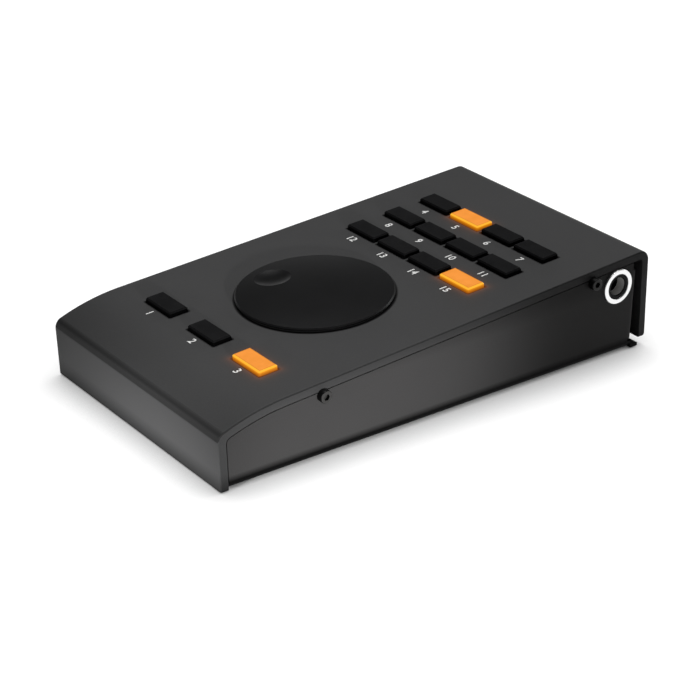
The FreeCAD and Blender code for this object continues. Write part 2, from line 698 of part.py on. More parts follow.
def make_jog_wheel():
    """A low domed wheel with a finger dimple and a hub that reaches the encoder's shaft."""
    turn = FreeCAD.Placement(V(0, -size("wheel_centre"), 0), FreeCAD.Rotation(V(0, 0, 1), size("wheel_turn")))
    body = new_body("jog_wheel", SLOPE.multiply(turn))
    radius = size("wheel_diameter") / 2
    bevel = size("wheel_bevel")
    under = size("wheel_gap")
    edge_height = size("wheel_edge_height")
    crest = edge_height + size("wheel_dome")
    flat_radius = radius - bevel
    dome_radius = (flat_radius ** 2 + size("wheel_dome") ** 2) / 2 / size("wheel_dome")
    half_angle = math.asin(flat_radius / dome_radius)
    hub = size("hub_diameter") / 2
    section = new_sketch(body, "WheelSection", "XZ_Plane")
    closed_profile(section, [
        line((0, -size("hub_end")), (hub, -size("hub_end"))),
        line((hub, -size("hub_end")), (hub, under)),
        line((hub, under), (radius - 0.3, under)),
        line((radius - 0.3, under), (radius, under + 0.3)),
        line((radius, under + 0.3), (radius, edge_height - bevel)),
        line((radius, edge_height - bevel), (flat_radius, edge_height)),
        arc_about((0, crest - dome_radius), dome_radius, math.pi / 2 - half_angle, math.pi / 2),
        line((0, crest), (0, -size("hub_end")))])
    spin = body.newObject("PartDesign::Revolution", "WheelTurned")
    spin.Profile = section
    spin.ReferenceAxis = (section, ["V_Axis"])
    spin.Angle = 360
    section.Visibility = False

    # The finger dimple is a shallow spherical hollow
    cut_radius = ((size("dimple_diameter") / 2) ** 2 + size("dimple_depth") ** 2) / 2 / size("dimple_depth")
    offset = size("dimple_offset")
    surface = crest - dome_radius + math.sqrt(dome_radius ** 2 - offset ** 2)
    dimple = body.newObject("PartDesign::SubtractiveSphere", "WheelDimple")
    dimple.AttachmentSupport = [(next(i for i in body.Origin.OriginFeatures if i.Role == "XY_Plane"), "")]
    dimple.MapMode = "FlatFace"
    dimple.AttachmentOffset = FreeCAD.Placement(
        V(offset, 0, surface - size("dimple_depth") + cut_radius), FreeCAD.Rotation())
    dimple.Radius = cut_radius
    dimple.setExpression("Radius", "((Sizes.dimple_diameter / 2) ^ 2 + Sizes.dimple_depth ^ 2) / 2"
                                   " / Sizes.dimple_depth")
    doc.recompute()

    bore = new_sketch(body, "WheelBore", "XY_Plane", raised(-size("hub_end")))
    closed_profile(bore, flatted_circle(size("shaft_diameter") / 2, size("shaft_flat")))
    pocket(body, bore, "WheelBoreCut", "Sizes.hub_end + 0.8", backwards=True)
    return body


def flatted_circle(radius, flat):
    """A circle with one flat, for a D-shaped shaft and its bore."""
    angle = math.acos(flat / radius)
    return [arc_about((0, 0), radius, angle, 2 * math.pi - angle),
            line(polar((0, 0), radius, -angle), polar((0, 0), radius, angle))]


def make_encoder_shaft():
    turn = FreeCAD.Placement(V(0, -size("wheel_centre"), 0), FreeCAD.Rotation(V(0, 0, 1), size("wheel_turn")))
    body = new_body("encoder_shaft", SLOPE.multiply(turn))
    lower = -size("board_depth") - 3.0
    round_part = new_sketch(body, "ShaftRound", "XY_Plane", raised(lower))
    circle(round_part, 0, 0, "Sizes.shaft_diameter")
    pad(body, round_part, "ShaftLower", f"{-size('hub_end') - lower}")
    flat_part = new_sketch(body, "ShaftFlatted", "XY_Plane", raised(-size("hub_end")))
    closed_profile(flat_part, flatted_circle(size("shaft_diameter") / 2, size("shaft_flat")))
    pad(body, flat_part, "ShaftUpper", "Sizes.hub_end + 0.8")
    return body


def make_encoder_body():
    """Encoder under the board, with the threaded bush that passes through it."""
    place = FreeCAD.Placement(V(0, -size("wheel_centre"), 0), FreeCAD.Rotation())
    body = new_body("encoder_body", SLOPE.multiply(place))
    case = new_sketch(body, "EncoderCase", "XY_Plane", raised(BOARD_UNDER))
    rectangle(case, 0, 0, "Sizes.encoder_width", "Sizes.encoder_length")
    pad(body, case, "EncoderCasePad", "Sizes.encoder_height", backwards=True)
    bush = new_sketch(body, "EncoderBush", "XY_Plane", raised(BOARD_UNDER))
    circle(bush, 0, 0, "Sizes.bush_diameter")
    pad(body, bush, "EncoderBushPad", "Sizes.board_depth + Sizes.board_thickness - Sizes.bush_end")
    bore = new_sketch(body, "EncoderBore", "XY_Plane", raised(-size("bush_end")))
    circle(bore, 0, 0, "Sizes.shaft_diameter + 2 * Sizes.shaft_play")
    pocket(body, bore, "EncoderBoreCut", "Sizes.board_depth - Sizes.bush_end + 3.5")
    return body


def make_encoder_nut():
    place = FreeCAD.Placement(V(0, -size("wheel_centre"), 0), FreeCAD.Rotation())
    body = new_body("encoder_nut", SLOPE.multiply(place))
    plan = new_sketch(body, "NutPlan", "XY_Plane", raised(BOARD_TOP))
    hexagon(plan, 0, 0, "10")
    circle(plan, 0, 0, "Sizes.bush_diameter")
    pad(body, plan, "NutPad", "2")
    return body


def make_controller_chip():
    body = new_body("controller_chip", SLOPE)
    plan = new_sketch(body, "ChipPlan", "XY_Plane", raised(BOARD_UNDER))
    rectangle(plan, 10, 38, "12", "12")
    pad(body, plan, "ChipPad", "1.4", backwards=True)
    return body


def make_jack():
    """Panel jack: moulded body with a threaded bush, metal sleeve and leaf contacts, and the round nut outside."""
    reach = size("jack_reach")
    level = size("jack_height")
    place = FreeCAD.Placement(V(SIDE_INNER, reach, level), FreeCAD.Rotation())
    body = new_body("jack_body", place)
    case = new_sketch(body, "JackCase", "YZ_Plane")
    rectangle(case, 0, 0, "14", "11")
    pad(body, case, "JackCasePad", "Sizes.jack_length", backwards=True)

    # The bush ends in a thin lip, bevelled inward, that holds the sleeve
    bush_end = size("tray_thickness") + size("jack_bush_rise")
    sleeve_front = bush_end - size("jack_lip")
    sleeve_back = sleeve_front - size("jack_sleeve_length")
    bore = size("jack_bore") / 2
    seat = size("jack_sleeve") / 2
    outside = size("jack_bush") / 2
    bush = new_sketch(body, "JackBush", "XZ_Plane")
    polygon(bush, [(0, seat), (sleeve_front, seat), (sleeve_front, bore), (bush_end, bore + 0.25),
                   (bush_end, outside), (0, outside)])
    turned = body.newObject("PartDesign::Revolution", "JackBushTurned")
    turned.Profile = bush
    turned.ReferenceAxis = (bush, ["H_Axis"])
    turned.Angle = 360
    bush.Visibility = False
    sleeve_room = new_sketch(body, "JackSleeveRoom", "YZ_Plane")
    circle(sleeve_room, 0, 0, "Sizes.jack_sleeve")
    pocket(body, sleeve_room, "JackSleeveRoomCut", f"{-sleeve_back}")
    cavity = new_sketch(body, "JackCavity", "YZ_Plane", raised(sleeve_back))
    circle(cavity, 0, 0, "Sizes.jack_cavity")
    pocket(body, cavity, "JackCavityCut", "Sizes.jack_length - 3")

    sleeve = new_body("jack_sleeve", place)
    ring = new_sketch(sleeve, "JackSleeveRing", "YZ_Plane", raised(sleeve_back))
    circle(ring, 0, 0, "Sizes.jack_sleeve")
    circle(ring, 0, 0, "Sizes.jack_bore")
    pad(sleeve, ring, "JackSleevePad", "Sizes.jack_sleeve_length")

    # Two bent leaves lie in channels above and below the cavity, with their crests at the plug's ring and tip
    root = size("jack_cavity") / 2 + 0.6
    crest = bore - 0.8
    thick = size("contact_thickness")
    springs = new_body("jack_contacts", place)
    for side, back, name in ((1, -9.0, "Ring"), (-1, -17.0, "Tip")):
        channel = new_sketch(body, f"Jack{name}Channel", "YZ_Plane", raised(sleeve_back))
        rectangle(channel, 0, side * (root - 1), "2.6", "2")
        pocket(body, channel, f"Jack{name}ChannelCut", "Sizes.jack_length - 3")
        leaf = new_sketch(springs, f"Jack{name}Leaf", "XZ_Plane")
        inner_run = [(sleeve_back, root - thick), (back + 5, root - thick), (back + 1, crest), (back - 1, crest),
                     (back - 3, crest + 1)]
        outer_run = [(x, height + thick) for x, height in reversed(inner_run)]
        polygon(leaf, [(x, side * height) for x, height in inner_run + outer_run])
        pad(springs, leaf, f"Jack{name}LeafPad", "2.2", side="Symmetric")

    nut = new_body("jack_nut", FreeCAD.Placement(V(HALF_WIDTH, reach, level), FreeCAD.Rotation()))
    washer = new_sketch(nut, "JackNutRing", "YZ_Plane")
    circle(washer, 0, 0, "Sizes.jack_nut")
    circle(washer, 0, 0, "Sizes.jack_bush")
    pad(nut, washer, "JackNutPad", "Sizes.jack_nut_thickness")

    def outer_rim(edge):
        return all_at(edge, "X", size("jack_nut_thickness")) and edge.BoundBox.YLength > size("jack_nut") - 1
    dress("PartDesign::Fillet", nut, "JackNutRim", outer_rim, "0.25")


def make_inlet():
    """Data inlet on its own small board, behind the window in the rear flange."""
    level = size("inlet_board_level")
    face = 88.0
    board = new_body("inlet_board")
    plan = new_sketch(board, "InletBoardPlan", "XY_Plane", raised(level))
    rectangle(plan, 0, 74, "48", "23")
    for place in INLET_SPACERS:
        circle(plan, *place, "Sizes.screw_hole")
    pad(board, plan, "InletBoardSheet", "Sizes.board_thickness")

    middle = level + size("board_thickness") + size("inlet_height") / 2
    place = FreeCAD.Placement(V(0, face, middle), FreeCAD.Rotation())
    shell = new_body("inlet_shell", place)
    tube = new_sketch(shell, "InletTube", "XZ_Plane")
    rectangle(tube, 0, 0, "Sizes.inlet_width", "Sizes.inlet_height")
    pad(shell, tube, "InletTubePad", "Sizes.inlet_length")
    room = new_sketch(shell, "InletRoom", "XZ_Plane")
    inner_width = "Sizes.inlet_width - 2 * Sizes.inlet_wall"
    inner_height = "Sizes.inlet_height - 2 * Sizes.inlet_wall"
    rectangle(room, 0, 0, inner_width, inner_height)
    pocket(shell, room, "InletRoomCut", "Sizes.inlet_length", backwards=True)

    core = new_body("inlet_core", place)
    block = new_sketch(core, "InletBlock", "XZ_Plane", raised(0.5))
    rectangle(block, 0, 0, inner_width, inner_height)
    pad(core, block, "InletBlockPad", "Sizes.inlet_length - 0.5")
    mouth = new_sketch(core, "InletMouth", "XZ_Plane", raised(0.5))
    rectangle(mouth, 0, 0, "Sizes.inlet_mouth_width", "Sizes.inlet_mouth_height")
    pocket(core, mouth, "InletMouthCut", "9.5", backwards=True)
    tongue = new_sketch(core, "InletTongue", "XZ_Plane", raised(1.4))
    rectangle(tongue, 0, 0, "5.6", "3.2")
    pad(core, tongue, "InletTonguePad", "9.2")

    posts = new_body("inlet_spacers")
    rings = new_sketch(posts, "InletPosts", "XY_Plane", raised(size("body_lift") + size("tray_thickness")))
    bores = new_sketch(posts, "InletPostBores", "XY_Plane", raised(size("body_lift") + size("tray_thickness")))
    for spot in INLET_SPACERS:
        circle(rings, *spot, "Sizes.spacer_diameter")
        circle(bores, *spot, "Sizes.screw_diameter")
    pad(posts, rings, "InletPostPads", "Sizes.inlet_board_level - Sizes.body_lift - Sizes.tray_thickness")
    pocket(posts, bores, "InletPostThreads", "2 * Sizes.inlet_board_level", backwards=True)
    return board


def make_inlet_screws():
    """Screws from above through the inlet board into its spacers."""
    body = new_body("inlet_screws")
    seat = size("inlet_board_level") + size("board_thickness")
    heads = new_sketch(body, "InletScrewHeads", "XY_Plane", raised(seat))
    shanks = new_sketch(body, "InletScrewShanks", "XY_Plane", raised(seat))
    for place in INLET_SPACERS:
        circle(heads, *place, "1.8 * Sizes.screw_diameter")
        circle(shanks, *place, "Sizes.screw_diameter")
    pad(body, heads, "InletScrewHeadPads", "1.5")
    pad(body, shanks, "InletScrewShankPads", "5.5", backwards=True)
    return body


def make_link():
    """Flat cable between the two boards, with a plug at each end."""
    across = -16.0
    upper = new_body("link_plug_upper", SLOPE)
    upper_plan = new_sketch(upper, "UpperPlugPlan", "XY_Plane", raised(BOARD_UNDER))
    upper_along = 55.0
    rectangle(upper_plan, across, upper_along, "15", "5")
    pad(upper, upper_plan, "UpperPlugPad", "4", backwards=True)
    lower = new_body("link_plug_lower")
    seat = size("inlet_board_level") + size("board_thickness")
    lower_plan = new_sketch(lower, "LowerPlugPlan", "XY_Plane", raised(seat))
    lower_reach = 74.0
    rectangle(lower_plan, across, lower_reach, "15", "5")
    pad(lower, lower_plan, "LowerPlugPad", "4")

    # Two half turns in the side view, up from the lower plug and up into the upper one
    upper_reach, upper_level = slope_point(upper_along, BOARD_UNDER - 4 - 0.35)
    lower_level = seat + 4
    half = 0.45
    radius = (lower_reach - upper_reach) / 4
    turn_level = lower_level + 1.6
    first = (lower_reach - radius, turn_level)
    second = (upper_reach + radius, turn_level)

    def side_run(shift):
        outer = radius + shift
        inner = radius - shift
        return [
            line((lower_reach + shift, lower_level), (lower_reach + shift, turn_level)),
            arc_about(first, outer, 0, math.pi),
            arc_about(second, inner, 0, -math.pi),
            line((upper_reach + shift, turn_level), (upper_reach + shift, upper_level))]
    one = side_run(half)
    other = reverse(side_run(-half))
    cable = new_body("link_cable", FreeCAD.Placement(V(across, 0, 0), FreeCAD.Rotation()))
    section = new_sketch(cable, "CableSide", "YZ_Plane")
    closed_profile(section, one + [Part.LineSegment(one[-1].EndPoint, other[0].StartPoint)] + other
                   + [Part.LineSegment(other[-1].EndPoint, one[0].StartPoint)])
    pad(cable, section, "CableFlat", "12.7", side="Symmetric")
    return cable


def make_rubber_feet():
    """Four thin pads that carry the body."""
    body = new_body("rubber_feet")
    plan = new_sketch(body, "FeetPlan", "XY_Plane")
    for across in (-38.0, 38.0):
        for reach in (-74.0, 74.0):
            circle(plan, across, reach, "Sizes.foot_diameter")
    pad(body, plan, "FeetPads", "Sizes.body_lift")
    return body


make_top_cover()
make_chassis()
make_side_screws()
make_cover_blocks()
make_control_board()
make_board_spacers()
make_screws("board_screws", SLOPE, BOARD_UNDER, SPACERS, "5.5")
make_key_switches()
make_key_lamps()
for key in KEYS:
    make_key(*key)
make_jog_wheel()
make_encoder_shaft()
make_encoder_body()
make_encoder_nut()
make_controller_chip()
make_jack()
make_inlet()
make_inlet_screws()
make_link()
make_rubber_feet()

doc.recompute()
bodies = [item for item in doc.Objects if item.TypeId == "PartDesign::Body"]
for item in doc.Objects:
    failed = {"Invalid", "Error"} & set(item.State)
    assert not failed, f"{item.Label}: {item.State}"
os.makedirs("parts", exist_ok=True)
for body in bodies:
    shape = body.Shape
    assert not shape.isNull() and shape.isValid(), body.Label
    shape.exportStep(f"parts/{body.Label}.step")
    box = shape.BoundBox
    print(f"{body.Label:18s} solids {len(shape.Solids):2d}  volume {shape.Volume:10.1f}  "
          f"x {box.XMin:7.2f} {box.XMax:7.2f}  y {box.YMin:7.2f} {box.YMax:7.2f}  z {box.ZMin:7.2f} {box.ZMax:7.2f}")
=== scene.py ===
import math

import bpy
from mathutils import Matrix, Vector


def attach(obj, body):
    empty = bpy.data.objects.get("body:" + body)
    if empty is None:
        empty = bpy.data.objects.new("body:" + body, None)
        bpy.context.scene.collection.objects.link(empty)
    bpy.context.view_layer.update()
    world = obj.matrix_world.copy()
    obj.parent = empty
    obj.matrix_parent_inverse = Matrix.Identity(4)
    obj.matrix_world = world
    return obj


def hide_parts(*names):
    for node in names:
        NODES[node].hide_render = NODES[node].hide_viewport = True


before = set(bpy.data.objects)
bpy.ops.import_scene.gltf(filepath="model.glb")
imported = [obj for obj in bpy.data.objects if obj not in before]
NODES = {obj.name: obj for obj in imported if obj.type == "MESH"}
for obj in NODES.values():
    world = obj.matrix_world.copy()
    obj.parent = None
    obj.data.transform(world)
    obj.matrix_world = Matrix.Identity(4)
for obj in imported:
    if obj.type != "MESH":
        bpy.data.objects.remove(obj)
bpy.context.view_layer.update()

MM = 0.001

# Sizes of the body, in millimetres, as the solids have them
TILT = math.radians(4.1)
REAR_HEIGHT = 37.9
HALF_LENGTH = 91.0
SLOPE_LEVEL = REAR_HEIGHT - math.tan(TILT) * HALF_LENGTH
ROWS = "abc"
COLUMNS = 4
FRONT_KEYS = 3
ROW_PITCH = 16.8
COLUMN_PITCH = 17.5
FRONT_PITCH = 1.5 * COLUMN_PITCH
FIRST_ROW = 25.2
FRONT_ROW = -60.8
LIT_KEYS = ("key_front_3", "key_a4", "key_c2")
WHEEL_CENTRE = -17.8
WHEEL_RADIUS = 27.5
JACK_REACH = 76.1
JACK_HEIGHT = 27.2
KEY_WIDTH = 15.5
KEY_DEPTH = 7.3
KEY_RISE = 1.7

# The photograph's camera: where it stands, as seen from the object, and its lens
PHOTO_SIZE = 700
CAMERA_AZIMUTH = math.radians(52.523)
CAMERA_ELEVATION = math.radians(26.502)
CAMERA_ROLL = math.radians(1.011)
CAMERA_DISTANCE = 701.2
AIM_RIGHT = -1.54
AIM_UP = 3.27
AIM_LEVEL = 0.6
FOCAL_PIXELS = 1994.2
CENTRE_PIXEL = (350.82, 348.83)


def key_centres():
    """Each key's middle on the slope, by the name of its node."""
    places = {f"key_front_{index + 1}": ((index - 1) * FRONT_PITCH, FRONT_ROW) for index in range(FRONT_KEYS)}
    for row, letter in reversed(list(enumerate(ROWS))):
        for column in range(COLUMNS):
            places[f"key_{letter}{column + 1}"] = ((column - 1.5) * COLUMN_PITCH, FIRST_ROW + row * ROW_PITCH)
    return places


KEYS = key_centres()


def slope_point(across, along, normal):
    """A point given on the cover's slope, in the frame and in metres."""
    y = along * math.cos(TILT) - normal * math.sin(TILT)
    z = SLOPE_LEVEL + along * math.sin(TILT) + normal * math.cos(TILT)
    return Vector((across, y, z)) * MM


def slope_matrix(across, along, normal=0.0):
    return Matrix.Translation(slope_point(across, along, normal)) @ Matrix.Rotation(TILT, 4, "X")


# Materials

NOISE_ROUGHNESS = 0.55

# A distance that is beyond any painted shade line or painted glow, in millimetres
FAR = 50.0


class Nodes:
    """A short way to write a material's node tree."""

    def __init__(self, name):
        self.material = bpy.data.materials.new(name)
        self.material.use_nodes = True
        self.tree = self.material.node_tree
        self.shader = self.tree.nodes["Principled BSDF"]
        self.place = self.add("ShaderNodeTexCoord").outputs["Object"]

    def add(self, kind, **values):
        node = self.tree.nodes.new(kind)
        for key, value in values.items():
            setattr(node, key, value)
        return node

    def link(self, source, target):
        self.tree.links.new(source, target)

    def noise(self, scale, detail=3.0, place=None):
        node = self.add("ShaderNodeTexNoise")
        node.inputs["Scale"].default_value = scale
        node.inputs["Detail"].default_value = detail
        node.inputs["Roughness"].default_value = NOISE_ROUGHNESS
        self.link(place or self.place, node.inputs["Vector"])
        return node.outputs["Fac"]

    def cells(self, scale):
        node = self.add("ShaderNodeTexVoronoi", feature="SMOOTH_F1")
        node.inputs["Scale"].default_value = scale
        self.link(self.place, node.inputs["Vector"])
        return node.outputs["Distance"]

    def spread(self, source, low, high, start=0.25, end=0.75):
        """A value mapped from one range to another."""
        node = self.add("ShaderNodeMapRange")
        node.inputs["From Min"].default_value = start
        node.inputs["From Max"].default_value = end
        node.inputs["To Min"].default_value = low
        node.inputs["To Max"].default_value = high
        self.link(source, node.inputs["Value"])
        return node.outputs["Result"]

    def math(self, operation, *values):
        node = self.add("ShaderNodeMath", operation=operation)
        for socket, value in zip(node.inputs, values):
            if isinstance(value, (int, float)):
                socket.default_value = value
            else:
                self.link(value, socket)
        return node.outputs["Value"]

    def ramp(self, factor, stops):
        """Colours at places along a factor."""
        node = self.add("ShaderNodeValToRGB")
        points = node.color_ramp.elements
        for index, (position, colour) in enumerate(stops):
            point = points[index] if index < 2 else points.new(position)
            point.position = position
            point.color = (*colour, 1.0)
        self.link(factor, node.inputs["Fac"])
        return node.outputs["Color"]

    def colour(self, factor, dark, light):
        self.link(self.ramp(factor, [(0.25, dark), (0.75, light)]), self.shader.inputs["Base Color"])

    def roughness(self, factor, low, high):
        self.link(self.spread(factor, low, high), self.shader.inputs["Roughness"])

    def bump(self, height, strength, distance, chained=None):
        node = self.add("ShaderNodeBump")
        node.inputs["Strength"].default_value = strength
        node.inputs["Distance"].default_value = distance
        self.link(height, node.inputs["Height"])
        if chained:
            self.link(chained, node.inputs["Normal"])
        self.link(node.outputs["Normal"], self.shader.inputs["Normal"])
        return node.outputs["Normal"]

    def on_slope(self, across, along):
        """Distances in millimetres from a place on the slope: across, along and out of it."""
        shift = self.add("ShaderNodeMapping", vector_type="TEXTURE")
        shift.inputs["Location"].default_value = slope_point(across, along, 0)
        shift.inputs["Rotation"].default_value = (TILT, 0, 0)
        shift.inputs["Scale"].default_value = (MM, MM, MM)
        self.link(self.place, shift.inputs["Vector"])
        split = self.add("ShaderNodeSeparateXYZ")
        self.link(shift.outputs["Vector"], split.inputs["Vector"])
        return split.outputs["X"], split.outputs["Y"], split.outputs["Z"]

    def facing(self, axis):
        """How far a face looks along an axis."""
        geometry = self.add("ShaderNodeNewGeometry")
        split = self.add("ShaderNodeSeparateXYZ")
        self.link(geometry.outputs["Normal"], split.inputs["Vector"])
        return split.outputs[axis]

    def upward(self):
        """How far a face looks up: one on a level top, nothing on a side."""
        return self.facing("Z")

    def as_vector(self, value):
        """A place that moves along X alone."""
        node = self.add("ShaderNodeCombineXYZ")
        self.link(value, node.inputs["X"])
        return node.outputs["Vector"]

    def root_of_squares(self, first, second):
        squares = self.math("ADD", self.math("MULTIPLY", first, first), self.math("MULTIPLY", second, second))
        return self.math("SQRT", squares)

    def outside_key(self, across, along):
        """Distance from a key's outline, in millimetres, for a place measured from the key's middle."""
        outside = []
        for distance, size in ((across, KEY_WIDTH), (along, KEY_DEPTH)):
            past = self.math("SUBTRACT", self.math("ABSOLUTE", distance), size / 2)
            outside.append(self.math("MAXIMUM", past, 0.0))
        return self.root_of_squares(*outside)

    def outside_key_field(self, columns, rows, pitch, middle):
        """The same for a whole field of keys, whose pattern repeats. Beyond the field it is far."""
        across, along, _ = self.on_slope(0.0, middle)
        beyond = [self.math("GREATER_THAN", self.math("ABSOLUTE", place), count * step / 2)
                  for place, count, step in zip((across, along), (columns, rows), pitch)]
        shift = pitch[0] / 2 if columns % 2 == 0 else 0.0
        column = self.math("WRAP", self.math("SUBTRACT", across, shift), pitch[0] / 2, -pitch[0] / 2)
        row = self.math("WRAP", along, pitch[1] / 2, -pitch[1] / 2)
        far = self.math("MULTIPLY", self.math("ADD", *beyond), FAR)
        return self.math("ADD", self.outside_key(column, row), far)

    def mix(self, factor, first, second):
        """A colour between two: the first where the factor is nothing, the second where it is one."""
        node = self.add("ShaderNodeMix", data_type="RGBA")
        colour_a, colour_b = node.inputs[6], node.inputs[7]
        self.link(factor, node.inputs["Factor"])
        for socket, value in ((colour_a, first), (colour_b, second)):
            if isinstance(value, tuple):
                socket.default_value = (*value, 1.0)
            else:
                self.link(value, socket)
        return node.outputs[2]

    def set(self, **values):
        """Constants on the shader's own sockets, by name."""
        for name, value in values.items():
            self.shader.inputs[name.replace("_", " ")].default_value = value


def scaled(colour, factor):
    return tuple(channel * factor for channel in colour)


# Painted shade: how dark the paint is by the way a face looks, from straight down (0) through level (0.5) to
# straight up (1)
COVER_BEND_SHADE = [(0.0, 1.0), (0.53, 1.0), (0.57, 0.34), (0.65, 0.42), (0.75, 0.55), (0.85, 0.36), (0.92, 0.5),
               (0.965, 0.78), (0.985, 0.88), (0.998, 1.0)]
TRAY_BEND_SHADE = [(0.0, 1.0), (0.06, 0.7), (0.14, 0.1), (0.38, 0.1), (0.49, 1.0)]

# Painted shade near the table: the height in millimetres and the share of its colour, from and to
COVER_FOOT_SHADE = (((0.4, 0.23), (7.0, 1.0)), ((7.0, 0.87), (17.0, 1.0)))
TRAY_FOOT_SHADE = (((3.4, 0.06), (5.6, 1.0)),)

# How much darker the upright ends are at the top of the rear, and the heights between which that sets in
END_SHADE = 0.45
END_SHADE_HEIGHTS = (24.0, 32.0)

# The powder coat's finest grain and its orange peel, as noise scales
COAT_GRAIN = 2600.0
COAT_PEEL = 1170.0

# Painted shade in the gaps: how near the paint is to an opening's edge where it is dark, and where it has its
# full colour, in mm
GAP_SHADE_LINE = (0.35, 0.95)

# Light of the lit keys: a painted glow on the paint beside them; and on a cap's sides from foot to top, rim,
# line and top
GLOW_COLOUR = (1.0, 0.24, 0.02)
GLOW_STRENGTH = 0.16
GLOW_FADE = 0.40
SIDE_GLOW = [(0.0, (0.30, 0.08, 0.002)), (0.3, (0.48, 0.14, 0.002)), (0.65, (0.78, 0.28, 0.004)),
             (1.0, (0.86, 0.34, 0.010))]
RIM_GLOW = (0.95, 0.46, 0.03)
LINE_GLOW = (0.62, 0.20, 0.008)
TOP_GLOW = ((0.78, 0.255, 0.025), (0.86, 0.29, 0.035))


def shaded(m, paint, bends, foot):
    """Paint with painted shade: darker round a bend, near the table and at the top of the rear ends."""
    facing = m.spread(m.upward(), 0.0, 1.0, start=-1.0, end=1.0)
    factor = m.ramp(facing, [(place, (grey, grey, grey)) for place, grey in bends])
    split = m.add("ShaderNodeSeparateXYZ")
    m.link(m.place, split.inputs["Vector"])
    for (low, dark), (high, light) in foot:
        share = m.spread(split.outputs["Z"], dark, light, start=low * MM, end=high * MM)
        factor = m.math("MULTIPLY", factor, share)
    side = m.spread(m.math("ABSOLUTE", m.facing("X")), 0.0, 1.0, start=0.8, end=0.95)
    lowest, highest = END_SHADE_HEIGHTS
    shade = m.spread(split.outputs["Z"], 0.0, END_SHADE, start=lowest * MM, end=highest * MM)
    factor = m.math("MULTIPLY", factor, m.math("SUBTRACT", 1.0, m.math("MULTIPLY", side, shade)))
    return m.mix(factor, (0.0, 0.0, 0.0), paint)


def powder_coat(name, colour, bends, foot, specular, roughness=(0.42, 0.56), windows=False):
    """Fine-textured powder coat: soft orange peel, finer speckle, a trace of unevenness, and painted shade
    round its bends, near the table and at the top of the rear ends.

    With windows, the paint has a line of painted shade at the key windows' edges and round the wheel's rim,
    and it takes the lit keys' glow, painted on it."""
    m = Nodes(name)
    cloud = m.noise(18.0, detail=4.0)
    speckle = m.noise(COAT_GRAIN, detail=2.0)
    peel = m.cells(COAT_PEEL)
    mixed = m.math("ADD", m.math("MULTIPLY", cloud, 0.35), m.math("MULTIPLY", speckle, 0.65))
    paint = m.ramp(mixed, [(0.25, scaled(colour, 0.86)), (0.75, scaled(colour, 1.14))])
    if windows:
        keypad = m.outside_key_field(COLUMNS, len(ROWS), (COLUMN_PITCH, ROW_PITCH), FIRST_ROW + ROW_PITCH)
        front = m.outside_key_field(FRONT_KEYS, 1, (FRONT_PITCH, ROW_PITCH), FRONT_ROW)
        across, along, _ = m.on_slope(0.0, WHEEL_CENTRE)
        wheel = m.math("ABSOLUTE", m.math("SUBTRACT", m.root_of_squares(across, along), WHEEL_RADIUS))
        nearest = m.math("MINIMUM", m.math("MINIMUM", keypad, front), wheel)
        # Painted shade: the paint is dark along the key windows' edges and round the wheel's rim
        edge = m.spread(nearest, 0.0, 1.0, *GAP_SHADE_LINE)
        paint = m.mix(edge, scaled(colour, 0.06), paint)
    m.link(shaded(m, paint, bends, foot), m.shader.inputs["Base Color"])
    m.roughness(mixed, *roughness)
    coarse = m.bump(peel, 0.12, 0.00006)
    m.bump(speckle, 0.10, 0.00003, coarse)
    m.set(Specular_IOR_Level=specular)
    if windows:
        add_key_glow(m)
    return m.material


def add_key_glow(m):
    """The lit keys' light, painted on the paint around their windows: it fades over two millimetres."""
    total = None
    for name in LIT_KEYS:
        across, along, _ = m.on_slope(*KEYS[name])
        fading = m.math("POWER", GLOW_FADE, m.outside_key(across, along))
        total = fading if total is None else m.math("ADD", total, fading)
    m.shader.inputs["Emission Color"].default_value = (*GLOW_COLOUR, 1.0)
    m.link(m.math("MULTIPLY", total, GLOW_STRENGTH), m.shader.inputs["Emission Strength"])


def moulded(name, colour, roughness=(0.35, 0.5), grain=5200.0, specular=0.4):
    """Moulded plastic or rubber with a fine spark-eroded texture."""
    m = Nodes(name)
    cloud = m.noise(90.0, detail=3.0)
    fine = m.noise(grain, detail=2.0)
    m.colour(m.math("ADD", m.math("MULTIPLY", cloud, 0.5), m.math("MULTIPLY", fine, 0.5)),
             scaled(colour, 0.85), scaled(colour, 1.15))
    m.roughness(cloud, *roughness)
    m.bump(fine, 0.08, 0.00003)
    m.set(Specular_IOR_Level=specular)
    return m.material


# Fine marks on bare metal: their noise scale, and how far they are drawn out along Y
MACHINING_MARKS = 5400.0
MARK_STRETCH = 0.08


def plated(name, colour, roughness=(0.16, 0.3), metallic=1.0):
    """Plated or bare metal with faint machining marks and tarnish."""
    m = Nodes(name)
    stretch = m.add("ShaderNodeMapping")
    stretch.inputs["Scale"].default_value = (1.0, MARK_STRETCH, 1.0)
    m.link(m.place, stretch.inputs["Vector"])
    lines = m.noise(MACHINING_MARKS, detail=2.0, place=stretch.outputs["Vector"])
    cloud = m.noise(160.0, detail=4.0)
    m.colour(cloud, scaled(colour, 0.9), colour)
    m.roughness(cloud, *roughness)
    m.bump(lines, 0.05, 0.00002)
    m.set(Metallic=metallic)
    return m.material


def black_screw(name):
    """Black oxide; a head's side is darker than its turned face, by painted shade."""
    m = Nodes(name)
    cloud = m.noise(700.0, detail=3.0)
    face = m.ramp(cloud, [(0.25, (0.032, 0.031, 0.030)), (0.75, (0.042, 0.041, 0.040))])
    outward = m.spread(m.math("ABSOLUTE", m.facing("X")), 0.0, 1.0, start=0.75, end=0.97)
    m.link(m.mix(outward, (0.002, 0.002, 0.002), face), m.shader.inputs["Base Color"])
    m.roughness(cloud, 0.3, 0.42)
    m.bump(m.noise(5200.0, detail=2.0), 0.06, 0.00002)
    m.set(Specular_IOR_Level=0.12)
    return m.material


